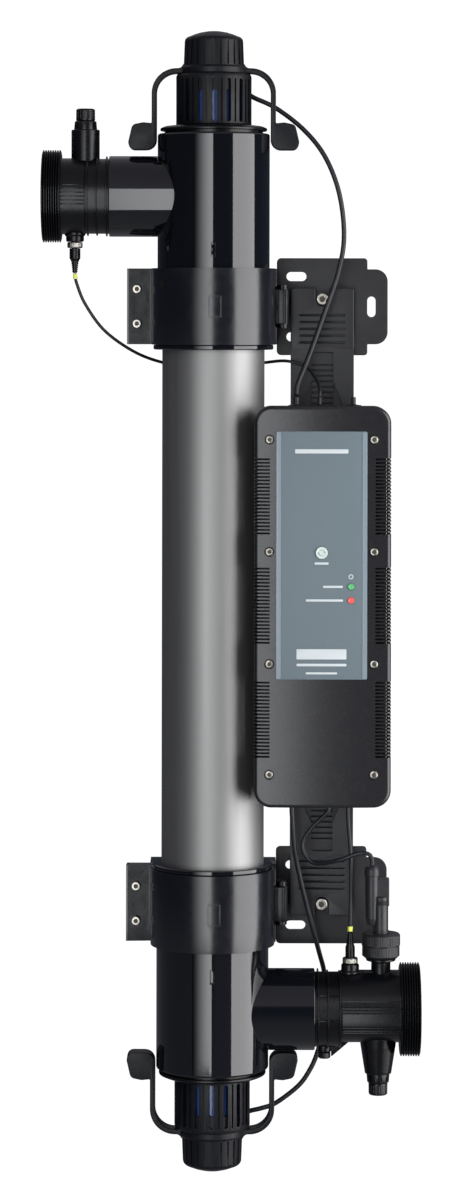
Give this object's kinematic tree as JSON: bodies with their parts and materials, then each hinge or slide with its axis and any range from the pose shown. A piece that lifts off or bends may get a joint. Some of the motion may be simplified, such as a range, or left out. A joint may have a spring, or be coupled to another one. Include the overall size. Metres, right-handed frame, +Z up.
{
  "type": "uv clarifier",
  "caption": "Wall-hung ultraviolet water clarifier: steel lamp chamber between two tee fittings with threaded side ports, hinged clamps and a long control box.",
  "frame": {"origin": "centre of the upper wall plate's back face", "axes": "+X to the right, +Y into the wall, +Z up along the lamp chamber"},
  "size_m": [0.3328, 0.1245, 1.0021],
  "materials": {
    "gloss_black_plastic": "high gloss moulded black plastic",
    "satin_black_plastic": "satin moulded black plastic",
    "charcoal_plastic": "fine textured charcoal plastic",
    "cap_rubber": "matt charcoal rubber",
    "brushed_steel": "satin brushed stainless steel",
    "nickel_metal": "bright nickel and stainless hardware",
    "quartz": "clear quartz glass",
    "blue_clear": "translucent blue plastic",
    "label_panel": "printed slate blue panel, no lettering",
    "pale_plastic": "pale grey moulded plastic",
    "green_lens": "green lamp lens",
    "red_lens": "red lamp lens",
    "board": "green circuit board",
    "seal_rubber": "black seal rubber",
    "ballast_metal": "plain painted steel case",
    "lead_sheath": "black cable sheath"
  },
  "bodies": {
    "chamber": {"tee_upper": "gloss_black_plastic", "tube_oring_upper": "seal_rubber", "end_flange_upper": "satin_black_plastic", "sleeve_oring_upper": "seal_rubber", "sight_ring_upper": "blue_clear", "sensor_plug_upper": "satin_black_plastic", "clamp_saddle_upper": "satin_black_plastic", "hinge_pin_upper": "nickel_metal", "wall_plate_upper": "charcoal_plastic", "box_arm_upper": "charcoal_plastic", "arm_screw_upper": "nickel_metal", "lamp_lead_upper": "lead_sheath", "sensor_lead_upper": "lead_sheath", "tee_lower": "gloss_black_plastic", "tube_oring_lower": "seal_rubber", "end_flange_lower": "satin_black_plastic", "sleeve_oring_lower": "seal_rubber", "sight_ring_lower": "blue_clear", "sensor_plug_lower": "satin_black_plastic", "clamp_saddle_lower": "satin_black_plastic", "hinge_pin_lower": "nickel_metal", "wall_plate_lower": "charcoal_plastic", "box_arm_lower": "charcoal_plastic", "arm_screw_lower": "nickel_metal", "lamp_lead_lower": "lead_sheath", "sensor_lead_lower": "lead_sheath", "inlet_port": "satin_black_plastic", "outlet_port": "satin_black_plastic", "flow_switch_body": "satin_black_plastic", "chamber_tube": "brushed_steel", "quartz_sleeve": "quartz", "uv_lamp": "quartz", "box_back": "charcoal_plastic", "box_cover": "charcoal_plastic", "box_label": "label_panel", "green_led": "green_lens", "red_led": "red_lens", "circuit_board": "board", "ballast": "ballast_metal", "flow_lead": "lead_sheath"},
    "cap_upper": {"lamp_cap_upper": "cap_rubber", "lamp_socket_upper": "pale_plastic"},
    "nut_upper": {"sleeve_nut_upper": "satin_black_plastic"},
    "sensor_ring_upper": {"sensor_ring_upper": "nickel_metal"},
    "bleed_knob": {"bleed_knob": "satin_black_plastic"},
    "strap_upper": {"clamp_strap_upper": "gloss_black_plastic", "clamp_screw_upper_top": "nickel_metal", "clamp_screw_upper_bottom": "nickel_metal"},
    "cap_lower": {"lamp_cap_lower": "cap_rubber", "lamp_socket_lower": "pale_plastic"},
    "nut_lower": {"sleeve_nut_lower": "satin_black_plastic"},
    "sensor_ring_lower": {"sensor_ring_lower": "nickel_metal"},
    "drain_knob": {"drain_knob": "satin_black_plastic"},
    "strap_lower": {"clamp_strap_lower": "gloss_black_plastic", "clamp_screw_lower_top": "nickel_metal", "clamp_screw_lower_bottom": "nickel_metal"},
    "outlet_plug": {"outlet_plug": "satin_black_plastic"},
    "flow_switch_nut": {"flow_switch_nut": "charcoal_plastic"},
    "flow_paddle": {"flow_paddle": "satin_black_plastic"},
    "reset_button": {"reset_button": "pale_plastic"}
  },
  "joints": [
    {"name": "cap_upper_pull", "type": "slide", "parent": "chamber", "child": "cap_upper", "axis": [0, 0, 1], "range_m": [0, 0.05]},
    {"name": "nut_upper_turn", "type": "hinge", "parent": "chamber", "child": "nut_upper", "pos_m": [-0.097, -0.062, 0.1807], "axis": [0, 0, 1], "continuous": true},
    {"name": "sensor_ring_upper_turn", "type": "hinge", "parent": "chamber", "child": "sensor_ring_upper", "pos_m": [-0.219, -0.062, 0.0537], "axis": [0, 0, 1], "continuous": true},
    {"name": "bleed_knob_turn", "type": "hinge", "parent": "chamber", "child": "bleed_knob", "pos_m": [-0.2098, -0.062, 0.1677], "axis": [0, 0, 1], "continuous": true},
    {"name": "strap_upper_swing", "type": "hinge", "parent": "chamber", "child": "strap_upper", "pos_m": [-0.036, -0.047, 0], "axis": [0, 0, 1], "range_deg": [0, 60]},
    {"name": "cap_lower_pull", "type": "slide", "parent": "chamber", "child": "cap_lower", "axis": [0, 0, -1], "range_m": [0, 0.05]},
    {"name": "nut_lower_turn", "type": "hinge", "parent": "chamber", "child": "nut_lower", "pos_m": [-0.097, -0.062, -0.702], "axis": [0, 0, -1], "continuous": true},
    {"name": "sensor_ring_lower_turn", "type": "hinge", "parent": "chamber", "child": "sensor_ring_lower", "pos_m": [0.0242, -0.062, -0.575], "axis": [0, 0, -1], "continuous": true},
    {"name": "drain_knob_turn", "type": "hinge", "parent": "chamber", "child": "drain_knob", "pos_m": [0.0489, -0.062, -0.689], "axis": [0, 0, -1], "continuous": true},
    {"name": "strap_lower_swing", "type": "hinge", "parent": "chamber", "child": "strap_lower", "pos_m": [-0.036, -0.047, -0.527], "axis": [0, 0, 1], "range_deg": [0, 60]},
    {"name": "outlet_plug_turn", "type": "hinge", "parent": "chamber", "child": "outlet_plug", "pos_m": [0.0016, -0.062, -0.657], "axis": [0, 0, -1], "continuous": true},
    {"name": "flow_switch_nut_turn", "type": "hinge", "parent": "chamber", "child": "flow_switch_nut", "pos_m": [0.0512, -0.062, -0.562], "axis": [0, 0, -1], "continuous": true},
    {"name": "flow_paddle_swing", "type": "hinge", "parent": "chamber", "child": "flow_paddle", "pos_m": [0.0512, -0.062, -0.578], "axis": [0, -1, 0], "range_deg": [0, 18], "stiffness_Nm_per_rad": 0.004},
    {"name": "reset_button_press", "type": "slide", "parent": "chamber", "child": "reset_button", "axis": [0, 1, 0], "range_m": [0, 0.001], "stiffness_N_per_m": 400}
  ]
}
